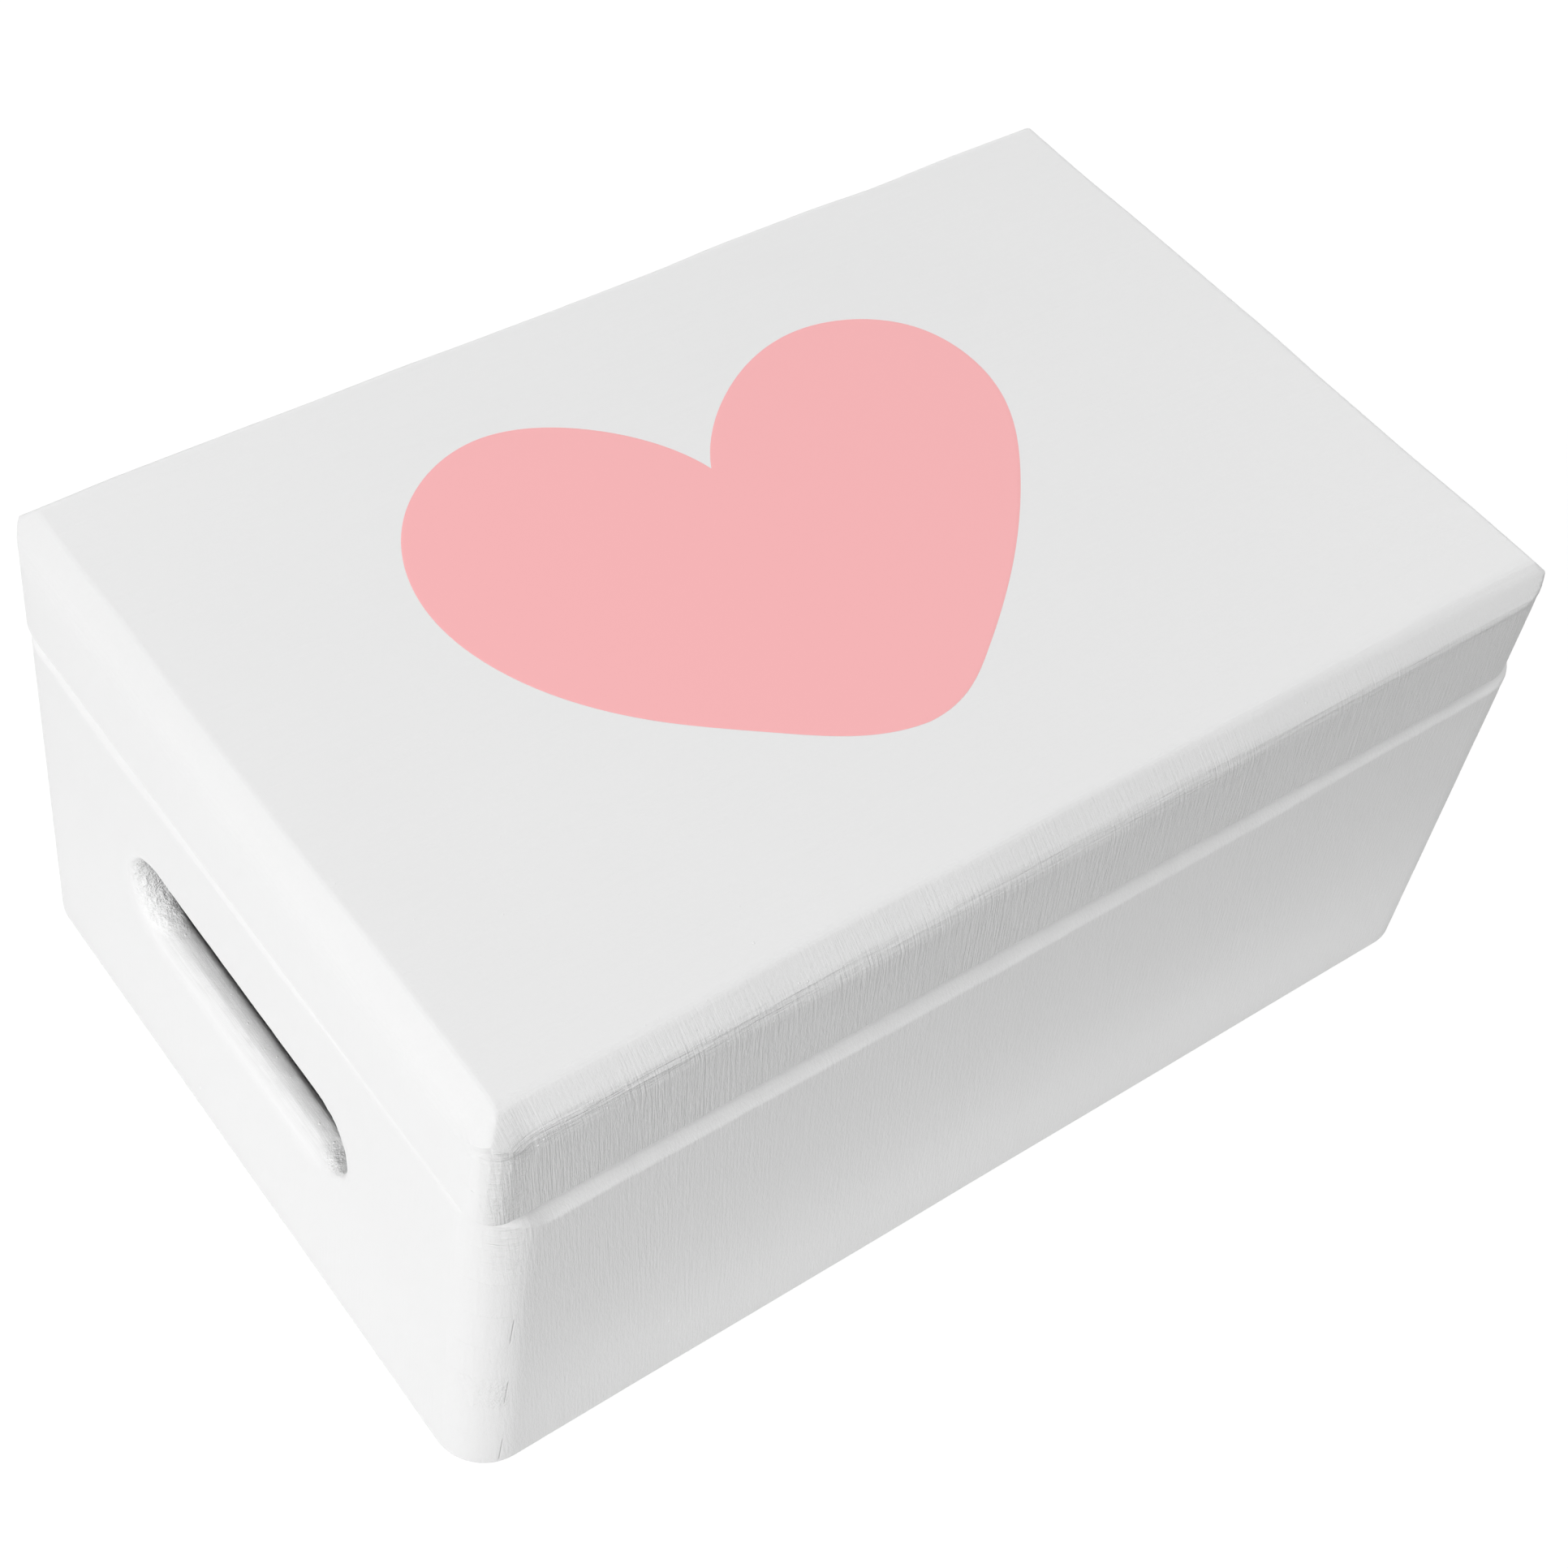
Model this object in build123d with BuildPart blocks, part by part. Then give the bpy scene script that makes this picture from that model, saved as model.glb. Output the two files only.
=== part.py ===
from build123d import *
import os

# Frame: X along the front, Y from front to back, Z up, origin at the middle of the base, millimetres

# Outside of the box
box_length = 300.0
box_depth = 198.0
body_height = 104.8
seam_gap = 0.3
corner_radius = 12.7
body_top_round = 5.5
body_bottom_round = 1.2
lid_bevel = 7.0
lid_bevel_upper_round = 3.5
lid_bevel_lower_round = 8.0
lid_lower_round = 1.0
lid_shift = 1.2

# Boards
wall_thickness = 9.5
lid_rail_height = 22.4
lid_board_thickness = 9.5
body_finger_rows = 8
lid_finger_rows = 2

# Hand holes in the two end walls
hand_hole_width = 92.5
hand_hole_height = 24.6
hand_hole_middle = 61.6
hand_hole_outer_round = 4.0
hand_hole_inner_round = 2.5

# Plywood bottom, let into a rebate and held by panel pins
panel_thickness = 4.0
rebate_depth = 4.5
panel_clearance = 0.15
panel_pin_radius = 0.6
panel_pin_length = 14.0
panel_pin_head_radius = 1.2
panel_pin_head_height = 0.6
panel_pin_sink = 0.1
panel_pin_clearance = 0.05
panel_pin_margin = 30.0
panel_pins_per_long_side = 4
panel_pins_per_short_side = 2

# Butt hinges, pinned in the seam at the back
hinge_length = 30.0
hinge_spread = 170.0
hinge_inset = 1.7
knuckle_radius = 2.25
knuckle_count = 3
knuckle_gap = 0.2
barrel_clearance = 0.3
hinge_pin_radius = 1.0
hinge_pin_clearance = 0.05
hinge_pin_chamfer = 0.3
leaf_thickness = 1.0
leaf_setback = 0.4
recess_clearance = 0.15

# Countersunk hinge screws
screw_radius = 1.0
screw_length = 9.0
screw_tip = 1.5
screw_spread = 18.0
screw_head_radius = 1.7
screw_head_sink = 0.05
screw_clearance = 0.1
pilot_clearance = 0.05
pilot_extra_depth = 0.5
cross_length = 1.9
cross_width = 0.4
cross_depth = 0.6

# Heart film on the lid, laid out from the middle of the lid's top
heart_thickness = 0.15
heart_notch = (-7.4, 28.5)
heart_tip = (-12.2, -58.3)
heart_left_side = [
    (-24.3, 52.9), (-48.4, 63.0), (-75.9, 50.5), (-87.5, 22.5),
    (-80.8, -5.2), (-62.7, -28.2), (-44.2, -42.8), (-25.6, -54.8),
]
heart_right_side = [
    (1.4, -55.2), (12.0, -48.5), (32.4, -32.2), (55.4, -7.9),
    (69.8, 20.1), (65.1, 44.3), (42.7, 56.9), (12.8, 48.9),
]

# Places worked out from the sizes above
lid_bottom = body_height + seam_gap
lid_height = lid_rail_height + lid_board_thickness
lid_board_bottom = lid_bottom + lid_rail_height
lid_top = lid_bottom + lid_height
rebate_length = box_length - 2 * (wall_thickness - rebate_depth)
rebate_width = box_depth - 2 * (wall_thickness - rebate_depth)
hinge_axis_y = box_depth / 2 - hinge_inset
hinge_axis_z = body_height + seam_gap / 2
plate_start = hinge_axis_y - knuckle_radius - barrel_clearance
plate_end = box_depth / 2 - wall_thickness + leaf_setback
screw_y = (plate_start + plate_end) / 2
hinge_places = {"left": -hinge_spread / 2, "right": hinge_spread / 2}

os.makedirs("parts", exist_ok=True)


def finish(builder, name):
    """Label a finished piece and write it to its own file."""
    builder.part.label = name
    export_step(builder.part, f"parts/{name}.step")


# Outer shape of the body's four walls: rounded upright corners, softly rounded top edge
with BuildPart() as body_block:
    with BuildSketch():
        RectangleRounded(box_length, box_depth, corner_radius)
    extrude(amount=body_height)
    fillet(body_block.edges().group_by(Axis.Z)[-1], radius=body_top_round)
    fillet(body_block.edges().group_by(Axis.Z)[0], radius=body_bottom_round)


def lid_section(width):
    """Upright section of the lid, with a bevel and two soft shoulders on each upper edge."""
    with BuildSketch(mode=Mode.PRIVATE) as section:
        Rectangle(width, lid_height, align=(Align.CENTER, Align.MIN))
        chamfer(section.vertices().group_by(Axis.Y)[-1], length=lid_bevel)
        fillet(section.vertices().group_by(Axis.Y)[-1], radius=lid_bevel_upper_round)
        fillet(section.vertices().group_by(Axis.Y)[1], radius=lid_bevel_lower_round)
    return section.sketch


# Outer shape of the lid: four straight bevels that meet in mitres, cut by the upright corners
with BuildPart() as lid_block:
    with BuildSketch(Plane.YZ.offset(box_length / 2 - lid_shift)):
        with Locations((0, lid_bottom)):
            add(lid_section(box_depth))
    extrude(amount=-box_length)
    with BuildSketch(Plane.XZ.offset(box_depth / 2)):
        with Locations((-lid_shift, lid_bottom)):
            add(lid_section(box_length))
    extrude(amount=-box_depth, mode=Mode.INTERSECT)
    with BuildSketch(Plane.XY.offset(lid_bottom)):
        with Locations((-lid_shift, 0)):
            RectangleRounded(box_length, box_depth, corner_radius)
    extrude(amount=lid_height, mode=Mode.INTERSECT)
    fillet(lid_block.edges().group_by(Axis.Z)[0], radius=lid_lower_round)

# Pocket that the bottom panel lies in
with BuildPart() as floor_rebate:
    with BuildSketch():
        Rectangle(rebate_length, rebate_width)
    extrude(amount=panel_thickness)


def panel_pin_places():
    """Places of the panel pins, along the middle of the rebate's four sides."""
    inset = 2 * wall_thickness - rebate_depth
    along = box_length - 2 * panel_pin_margin
    across = box_depth - 2 * panel_pin_margin
    long_sides = GridLocations(
        along / (panel_pins_per_long_side - 1), box_depth - inset, panel_pins_per_long_side, 2
    )
    short_sides = GridLocations(
        box_length - inset, across / panel_pins_per_short_side, 2, panel_pins_per_short_side
    )
    return [*long_sides, *short_sides]


def panel_pin_shape(clearance):
    """All panel pins as one group of solids, or their holes when given a clearance."""
    with BuildPart() as pins:
        with BuildSketch(Plane.XY.offset(panel_pin_sink - clearance)):
            with Locations(*panel_pin_places()):
                Circle(panel_pin_head_radius + clearance)
        extrude(amount=panel_pin_head_height + 2 * clearance)
        with BuildSketch(Plane.XY.offset(panel_pin_sink)):
            with Locations(*panel_pin_places()):
                Circle(panel_pin_radius + clearance)
        extrude(amount=panel_pin_length + clearance)
    return pins


bottom_pins = panel_pin_shape(0)
finish(bottom_pins, "bottom_pins")

# Holes for the panel pins, open at the underside
with BuildPart() as pin_holes:
    add(panel_pin_shape(panel_pin_clearance).part)
    with BuildSketch():
        with Locations(*panel_pin_places()):
            Circle(panel_pin_head_radius + panel_pin_clearance)
    extrude(amount=panel_pin_sink)

with BuildPart() as bottom_panel:
    with BuildSketch():
        Rectangle(rebate_length - 2 * panel_clearance, rebate_width - 2 * panel_clearance)
    extrude(amount=panel_thickness)
    add(pin_holes.part, mode=Mode.SUBTRACT)
finish(bottom_panel, "bottom_panel")


def screw_places(hinge_x):
    """X places of one leaf's two screws."""
    return (hinge_x - screw_spread / 2, hinge_x + screw_spread / 2)


# Recesses for both hinges: a barrel channel, a shallow bed for each leaf and the pilot holes
with BuildPart() as hinge_recesses:
    for hinge_x in hinge_places.values():
        recess_length = hinge_length + 2 * recess_clearance
        recess_start = hinge_x - recess_length / 2
        with BuildSketch(Plane.YZ.offset(recess_start)):
            with Locations((hinge_axis_y, hinge_axis_z)):
                Circle(knuckle_radius + barrel_clearance)
                Rectangle(
                    2 * wall_thickness, seam_gap + 2 * leaf_thickness, align=(Align.MAX, Align.CENTER)
                )
        extrude(amount=recess_length)
        for screw_x in screw_places(hinge_x):
            with BuildSketch(Plane.XY.offset(hinge_axis_z)):
                with Locations((screw_x, screw_y)):
                    Circle(screw_radius + pilot_clearance)
            extrude(amount=seam_gap / 2 + screw_length + pilot_extra_depth, both=True)


def finger_gaps(length, bottom, finger, first_row, rows):
    """Middles of the gaps at both ends of a finger-jointed board, in every second row."""
    reach = (length - wall_thickness) / 2
    return [
        (end * reach, bottom + (row + 0.5) * finger) for end in (-1, 1) for row in range(first_row, rows, 2)
    ]


def jointed_outline(length, bottom, height, rows, first_row, shift=0.0):
    """Face of a board with square fingers cut at both ends, inside the caller's sketch."""
    finger = height / rows
    gaps = finger_gaps(length, bottom, finger, first_row, rows)
    with Locations((shift, 0)):
        with Locations((0, bottom + height / 2)):
            Rectangle(length, height)
        with Locations(*gaps):
            Rectangle(wall_thickness, finger, mode=Mode.SUBTRACT)


def long_wall(side):
    """Front wall, side -1, or back wall, side 1."""
    with BuildPart() as wall:
        with BuildSketch(Plane.XZ.offset(-side * box_depth / 2)):
            jointed_outline(box_length, 0, body_height, body_finger_rows, 0)
        extrude(amount=side * wall_thickness)
        add(body_block.part, mode=Mode.INTERSECT)
        add(floor_rebate.part, mode=Mode.SUBTRACT)
        add(pin_holes.part, mode=Mode.SUBTRACT)
    return wall


front_wall = long_wall(-1)
finish(front_wall, "front_wall")

with BuildPart() as back_wall:
    add(long_wall(1).part)
    add(hinge_recesses.part, mode=Mode.SUBTRACT)
finish(back_wall, "back_wall")


def hand_hole_rims(wall, side):
    """Rims of the hand hole on the wall's two faces, the outer rim first."""
    faces = ShapeList(face for face in wall.faces().filter_by(Axis.X) if face.inner_wires())
    return [face.inner_wires()[0].edges() for face in faces.sort_by(Axis.X, reverse=side > 0)]


def end_wall(side):
    """Left wall, side -1, or right wall, side 1, with its hand hole."""
    with BuildPart() as wall:
        with BuildSketch(Plane.YZ.offset(side * box_length / 2)):
            jointed_outline(box_depth, 0, body_height, body_finger_rows, 1)
            with Locations((0, hand_hole_middle)):
                SlotOverall(hand_hole_width, hand_hole_height, mode=Mode.SUBTRACT)
        extrude(amount=-side * wall_thickness)
        add(body_block.part, mode=Mode.INTERSECT)
        add(floor_rebate.part, mode=Mode.SUBTRACT)
        add(pin_holes.part, mode=Mode.SUBTRACT)
        fillet(hand_hole_rims(wall, side)[0], radius=hand_hole_outer_round)
        fillet(hand_hole_rims(wall, side)[1], radius=hand_hole_inner_round)
    return wall


left_wall = end_wall(-1)
finish(left_wall, "left_wall")

right_wall = end_wall(1)
finish(right_wall, "right_wall")


def lid_long_rail(side):
    """Front rail, side -1, or back rail, side 1, of the lid's frame."""
    with BuildPart() as rail:
        with BuildSketch(Plane.XZ.offset(-side * box_depth / 2)):
            jointed_outline(box_length, lid_bottom, lid_rail_height, lid_finger_rows, 0, -lid_shift)
        extrude(amount=side * wall_thickness)
        add(lid_block.part, mode=Mode.INTERSECT)
    return rail


lid_front_rail = lid_long_rail(-1)
finish(lid_front_rail, "lid_front_rail")

with BuildPart() as lid_back_rail:
    add(lid_long_rail(1).part)
    add(hinge_recesses.part, mode=Mode.SUBTRACT)
finish(lid_back_rail, "lid_back_rail")


def lid_end_rail(side):
    """Left rail, side -1, or right rail, side 1, of the lid's frame."""
    with BuildPart() as rail:
        with BuildSketch(Plane.YZ.offset(side * box_length / 2 - lid_shift)):
            jointed_outline(box_depth, lid_bottom, lid_rail_height, lid_finger_rows, 1)
        extrude(amount=-side * wall_thickness)
        add(lid_block.part, mode=Mode.INTERSECT)
    return rail


lid_left_rail = lid_end_rail(-1)
finish(lid_left_rail, "lid_left_rail")

lid_right_rail = lid_end_rail(1)
finish(lid_right_rail, "lid_right_rail")

with BuildPart() as lid_board:
    with BuildSketch(Plane.XY.offset(lid_board_bottom)):
        with Locations((-lid_shift, 0)):
            Rectangle(box_length, box_depth)
    extrude(amount=lid_board_thickness)
    add(lid_block.part, mode=Mode.INTERSECT)
finish(lid_board, "lid_board")

# Heart, a thin film that lies on the lid's top
with BuildPart() as heart_film:
    with BuildSketch(Plane.XY.offset(lid_top)):
        with BuildLine():
            Spline(heart_notch, *heart_left_side, heart_tip)
            Spline(heart_tip, *heart_right_side, heart_notch)
        make_face()
    extrude(amount=heart_thickness)
finish(heart_film, "heart_film")


def knuckle_places(hinge_x, side):
    """Starts of one leaf's knuckles: the body's leaf has the outer ones, the lid's the one between."""
    pitch = hinge_length / knuckle_count
    first_row = 0 if side < 0 else 1
    first = hinge_x - hinge_length / 2 + knuckle_gap / 2
    return [first + row * pitch for row in range(first_row, knuckle_count, 2)]


def hinge_leaf(hinge_x, side):
    """One leaf, side -1 in the body's wall or 1 in the lid's rail, with its rolled knuckles."""
    knuckle_length = hinge_length / knuckle_count - knuckle_gap
    face_z = hinge_axis_z + side * seam_gap / 2
    mid_z = face_z + side * leaf_thickness / 2
    with BuildPart() as leaf:
        with BuildSketch(Plane.YZ.offset(hinge_x - hinge_length / 2)):
            with Locations((screw_y, mid_z)):
                Rectangle(plate_start - plate_end, leaf_thickness)
        extrude(amount=hinge_length)
        for start in knuckle_places(hinge_x, side):
            with BuildSketch(Plane.YZ.offset(start)):
                with Locations((hinge_axis_y, hinge_axis_z)):
                    Circle(knuckle_radius)
                with Locations(((hinge_axis_y + screw_y) / 2, mid_z)):
                    Rectangle(hinge_axis_y - screw_y, leaf_thickness)
                with Locations((hinge_axis_y, hinge_axis_z)):
                    Circle(hinge_pin_radius + hinge_pin_clearance, mode=Mode.SUBTRACT)
            extrude(amount=knuckle_length)
        for screw_x in screw_places(hinge_x):
            with Locations(Plane(origin=(screw_x, screw_y, face_z), z_dir=(0, 0, -side))):
                CounterSinkHole(
                    screw_radius + screw_clearance,
                    screw_head_radius + screw_clearance,
                    depth=2 * leaf_thickness,
                    counter_sink_angle=90,
                )
    return leaf


def hinge_screws(hinge_x, side):
    """The two countersunk screws of one leaf, side -1 driven down and 1 driven up."""
    face_z = hinge_axis_z + side * (seam_gap / 2 + screw_head_sink)
    neck_z = face_z + side * (screw_head_radius - screw_radius)
    shank_z = face_z + side * (screw_length - screw_tip)
    tip_z = face_z + side * screw_length
    with BuildPart() as screws:
        for screw_x in screw_places(hinge_x):
            with BuildSketch(Plane(origin=(screw_x, screw_y, 0), x_dir=(1, 0, 0), z_dir=(0, -1, 0))):
                with BuildLine():
                    Polyline(
                        (0, face_z),
                        (screw_head_radius, face_z),
                        (screw_radius, neck_z),
                        (screw_radius, shank_z),
                        (0, tip_z),
                        close=True,
                    )
                make_face()
            revolve(axis=Axis((screw_x, screw_y, 0), (0, 0, 1)))
            with Locations((screw_x, screw_y, face_z + side * cross_depth / 2)):
                Box(cross_length, cross_width, cross_depth, mode=Mode.SUBTRACT)
                Box(cross_width, cross_length, cross_depth, mode=Mode.SUBTRACT)
    return screws


def hinge_pin(hinge_x):
    """Pin of one hinge, held in the barrel with a running clearance."""
    with BuildPart() as pin:
        with BuildSketch(Plane.YZ.offset(hinge_x - hinge_length / 2)):
            with Locations((hinge_axis_y, hinge_axis_z)):
                Circle(hinge_pin_radius)
        extrude(amount=hinge_length)
        chamfer(pin.edges().filter_by(GeomType.CIRCLE), length=hinge_pin_chamfer)
    return pin


for place, hinge_x in hinge_places.items():
    finish(hinge_leaf(hinge_x, -1), f"{place}_hinge_body_leaf")
    finish(hinge_leaf(hinge_x, 1), f"{place}_hinge_lid_leaf")
    finish(hinge_screws(hinge_x, -1), f"{place}_hinge_body_screws")
    finish(hinge_screws(hinge_x, 1), f"{place}_hinge_lid_screws")
    finish(hinge_pin(hinge_x), f"{place}_hinge_pin")
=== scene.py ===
import math
from itertools import product

import bmesh
import bpy
import numpy as np
from mathutils import Matrix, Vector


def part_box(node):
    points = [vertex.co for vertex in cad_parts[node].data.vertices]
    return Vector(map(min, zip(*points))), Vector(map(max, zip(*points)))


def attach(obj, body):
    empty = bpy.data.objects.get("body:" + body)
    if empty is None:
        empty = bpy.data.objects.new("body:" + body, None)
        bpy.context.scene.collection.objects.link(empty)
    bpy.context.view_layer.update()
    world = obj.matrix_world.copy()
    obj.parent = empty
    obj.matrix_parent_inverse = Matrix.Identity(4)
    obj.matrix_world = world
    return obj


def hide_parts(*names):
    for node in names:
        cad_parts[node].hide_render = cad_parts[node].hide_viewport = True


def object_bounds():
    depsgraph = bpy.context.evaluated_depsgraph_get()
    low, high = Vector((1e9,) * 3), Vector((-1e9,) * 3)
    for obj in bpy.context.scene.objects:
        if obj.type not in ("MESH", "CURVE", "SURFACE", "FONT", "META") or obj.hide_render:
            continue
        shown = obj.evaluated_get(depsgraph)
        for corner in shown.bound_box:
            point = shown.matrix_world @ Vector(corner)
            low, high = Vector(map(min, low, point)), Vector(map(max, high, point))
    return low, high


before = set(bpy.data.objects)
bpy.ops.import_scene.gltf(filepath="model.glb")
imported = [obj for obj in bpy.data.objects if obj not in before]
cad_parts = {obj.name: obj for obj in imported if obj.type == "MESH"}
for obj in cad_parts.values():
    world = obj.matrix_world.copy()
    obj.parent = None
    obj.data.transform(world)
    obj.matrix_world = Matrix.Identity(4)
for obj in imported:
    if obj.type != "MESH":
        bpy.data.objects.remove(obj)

cad_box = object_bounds()

# Front and back walls of the body. Pine boards 9.5 mm thick with square fingers at both ends, glued
# into the end walls. The top edge was sanded by hand to a slant, wide at the left end and narrow at
# the right, and white paint was brushed over it all.
def extent(node):
    """Lowest and highest corner of a CAD node, in millimetres."""
    return [np.round(np.array(corner) * 1000, 2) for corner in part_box(node)]


front_lowest, front_highest = extent("front_wall")
HALF_LENGTH = -extent("left_wall")[0][0]
HALF_DEPTH = -front_lowest[1]
BODY_TOP = front_highest[2]
WALL = front_highest[1] - front_lowest[1]
BODY_FINGER_ROWS = 8
FINGER = BODY_TOP / BODY_FINGER_ROWS
BODY_CORNER = 12.7
BODY_TOP_ROUND = 5.5
BODY_FOOT_ROUND = 1.2
WEAR_REACH = 6.0
ROUND_LESS_AT_CORNERS = 2.0
PAINT_WAVE = 0.06
PAINT_WAVE_LENGTH = 34
SAME_POINT = 2e-6
FLAT_WITHIN = math.radians(0.3)
SHARP_FROM = math.radians(38)

# Height at which the sanded slant starts, as (place, height) along the front and along the ends
SLANT_ALONG_FRONT = (
    (-150, 102.0), (-144, 100.2), (-134, 97.3), (0, 97.2), (60, 98.1), (120, 99.5), (150, 100.8),
)
SLANT_ALONG_ENDS = ((-99, 102.6), (-85, 101.6), (-55, 100.8), (30, 98.6), (60, 97.6), (99, 99.0))
SLANT_TILT_LEFT = 43
SLANT_TILT_RIGHT = 38
SLANT_LESS_ON_ENDS = 8
SLANT_SHOULDER = 1.0
ROUGH_HEIGHT = 98.6
ROUGH_BAND = 1.6
ROUGH_DEPTH = 0.08

# How the sanding wanders, as (height, length of a lump, seed)
SANDING = ((0.30, 19, 3), (0.16, 4, 4))
CUTS_AT_FOOT = (0.4, 3, 0.6)
CUTS_AT_TOP = ((93, 96, 0.7), (96.3, 104.6, 0.42))


def ruled(*stretches):
    """Places along a board, one stretch after another, each as (start, end, step)."""
    return np.unique(np.concatenate([np.arange(start, end, step) for start, end, step in stretches]))


def merged(node):
    """A copy of a CAD node with its loose triangles merged into whole flat faces."""
    solid = bmesh.new()
    solid.from_mesh(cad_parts[node].data)
    bmesh.ops.remove_doubles(solid, verts=solid.verts, dist=SAME_POINT)
    bmesh.ops.dissolve_limit(solid, angle_limit=FLAT_WITHIN, verts=solid.verts, edges=solid.edges)
    return solid


def plain_mesh(solid, name):
    """The mesh of a solid once it is worked, in triangles."""
    bmesh.ops.triangulate(solid, faces=solid.faces)
    mesh = bpy.data.meshes.new(name)
    solid.to_mesh(mesh)
    solid.free()
    return mesh


def sawn_board(node, cuts):
    """A copy of a board with extra points where planes cross it, so that it can be worn finely."""
    board = merged(node)
    for way, places in zip(np.eye(3), cuts):
        for place in places:
            bmesh.ops.bisect_plane(
                board, geom=board.verts[:] + board.edges[:] + board.faces[:], dist=1e-5,
                plane_co=way * place / 1000, plane_no=way,
            )
    mesh = plain_mesh(board, "painted_" + node)
    if "custom_normal" in mesh.attributes:
        mesh.attributes.remove(mesh.attributes["custom_normal"])
    return mesh


def points_of(mesh):
    """The points of a mesh, in millimetres."""
    points = np.empty(len(mesh.vertices) * 3, np.float32)
    mesh.vertices.foreach_get("co", points)
    return points.reshape(-1, 3).astype(float) * 1000


def move_points(mesh, points):
    """Moves the points of a mesh to places in millimetres."""
    mesh.vertices.foreach_set("co", (points / 1000).astype(np.float32).ravel())


def in_scene(name, data):
    """A new object in the scene."""
    thing = bpy.data.objects.new(name, data)
    bpy.context.scene.collection.objects.link(thing)
    return thing


def lumps(points, seed):
    """Smooth random heights from -1 to 1, about one lump to a unit."""
    cell = np.floor(points).astype(np.int64)
    part = points - cell
    part = part * part * (3 - 2 * part)
    total = np.zeros(len(points))
    for step in product((0, 1), repeat=3):
        key = (cell + step) @ np.array([73856093, 19349663, 83492791]) + seed * 2654435761
        key = (key ^ (key >> 13)) * 1274126177 & 0xFFFFFFFF
        weight = np.prod(np.where(step, part, 1 - part), axis=1)
        total += weight * ((key ^ (key >> 16)) & 0xFFFF) / 32767.5
    return total - 1


def lumps_of(seed, *sides):
    """Lumps over three sides, each a coordinate divided by the length of a lump."""
    return lumps(np.stack(sides, axis=1), seed)


def meet(first, second, radius, cosine=0.0):
    """Distance outside two faces whose shared edge is rounded. The cosine is of the angle between them."""
    one, two = first + radius, second + radius
    sine2 = 1 - cosine * cosine
    share_one = (one - two * cosine) / sine2
    share_two = (two - one * cosine) / sine2
    arc = np.sqrt(np.maximum(one * one + two * two - 2 * one * two * cosine, 0) / sine2)
    return np.where((share_one > 0) & (share_two > 0), arc, np.maximum(one, two)) - radius


def plan_edge(x, y, corner):
    """Distance outside the rounded rectangle that the box fills, seen from above."""
    across, deep = np.abs(x) - HALF_LENGTH + corner, np.abs(y) - HALF_DEPTH + corner
    outside = np.hypot(np.maximum(across, 0), np.maximum(deep, 0))
    return outside + np.minimum(np.maximum(across, deep), 0) - corner


def body_made(points):
    """Distance outside the body's walls as they leave the router."""
    around = plan_edge(points[:, 0], points[:, 1], BODY_CORNER)
    top = meet(around, points[:, 2] - BODY_TOP, BODY_TOP_ROUND)
    return meet(top, -points[:, 2], BODY_FOOT_ROUND)


def body_worn(points):
    """Distance outside the body's walls once the top edge is sanded by hand."""
    x, y, z = points.T
    around = plan_edge(x, y, BODY_CORNER)
    ahead = np.maximum(np.abs(y) - HALF_DEPTH + BODY_CORNER, 0)
    aside = np.maximum(np.abs(x) - HALF_LENGTH + BODY_CORNER, 0)
    on_front = ahead ** 2 / np.maximum(ahead ** 2 + aside ** 2, 1e-6)
    on_corner = 4 * on_front * (1 - on_front)
    start = np.interp(x, *zip(*SLANT_ALONG_FRONT)) * on_front
    start = start + np.interp(y, *zip(*SLANT_ALONG_ENDS)) * (1 - on_front)
    for height, length, seed in SANDING:
        start = start + height * lumps_of(seed, x / length, y / length, 0 * z)
    tilt = np.interp(x, [-HALF_LENGTH, HALF_LENGTH], [SLANT_TILT_LEFT, SLANT_TILT_RIGHT])
    tilt = np.radians(tilt - SLANT_LESS_ON_ENDS * (1 - on_front))
    slant = around * np.cos(tilt) + (z - start) * np.sin(tilt)
    top = meet(around, z - BODY_TOP, BODY_TOP_ROUND - ROUND_LESS_AT_CORNERS * on_corner)
    top = np.maximum(top, meet(around, slant, SLANT_SHOULDER, np.cos(tilt)))
    return meet(top, -z, BODY_FOOT_ROUND)


def body_relief(points):
    """How far the painted skin of the body lies below the board's true face."""
    x, y, z = points.T
    broad = 1 + lumps(points / PAINT_WAVE_LENGTH, 5)
    below_slant = np.exp(-(((z - ROUGH_HEIGHT) / ROUGH_BAND) ** 2))
    sanded = 1 + lumps_of(8, x / 6, y / 6, z / 2.0)
    return PAINT_WAVE * broad + ROUGH_DEPTH * below_slant * sanded


def outward(skin, points):
    """Unit directions away from a skin."""
    slope = np.stack([skin(points + way) - skin(points - way) for way in np.eye(3) * 0.4], axis=1)
    return slope / np.maximum(np.linalg.norm(slope, axis=1, keepdims=True), 1e-9)


def painted_board(node, body, cuts, made, worn, relief, shaped=np.copy):
    """A board that stands for its CAD node: sawn finely, worn at its edges and thick with paint."""
    mesh = sawn_board(node, cuts)
    points = shaped(points_of(mesh))
    depth = -made(points)
    fade = np.clip(1 - depth / WEAR_REACH, 0, 1)
    fade = fade * fade * (3 - 2 * fade)
    sink = (worn(points) - made(points) + relief(points)) * fade
    move_points(mesh, points - outward(made, points) * sink[:, None])
    skin = mesh.attributes.new("paint_depth", "FLOAT", "POINT")
    skin.data.foreach_set("value", np.maximum(depth, 0).astype(np.float32))
    mesh.polygons.foreach_set("use_smooth", np.ones(len(mesh.polygons), bool))
    mesh.set_sharp_from_angle(angle=SHARP_FROM)
    mesh.update()
    board = in_scene("painted_" + node, mesh)
    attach(board, body)
    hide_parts(node)
    return board


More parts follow.
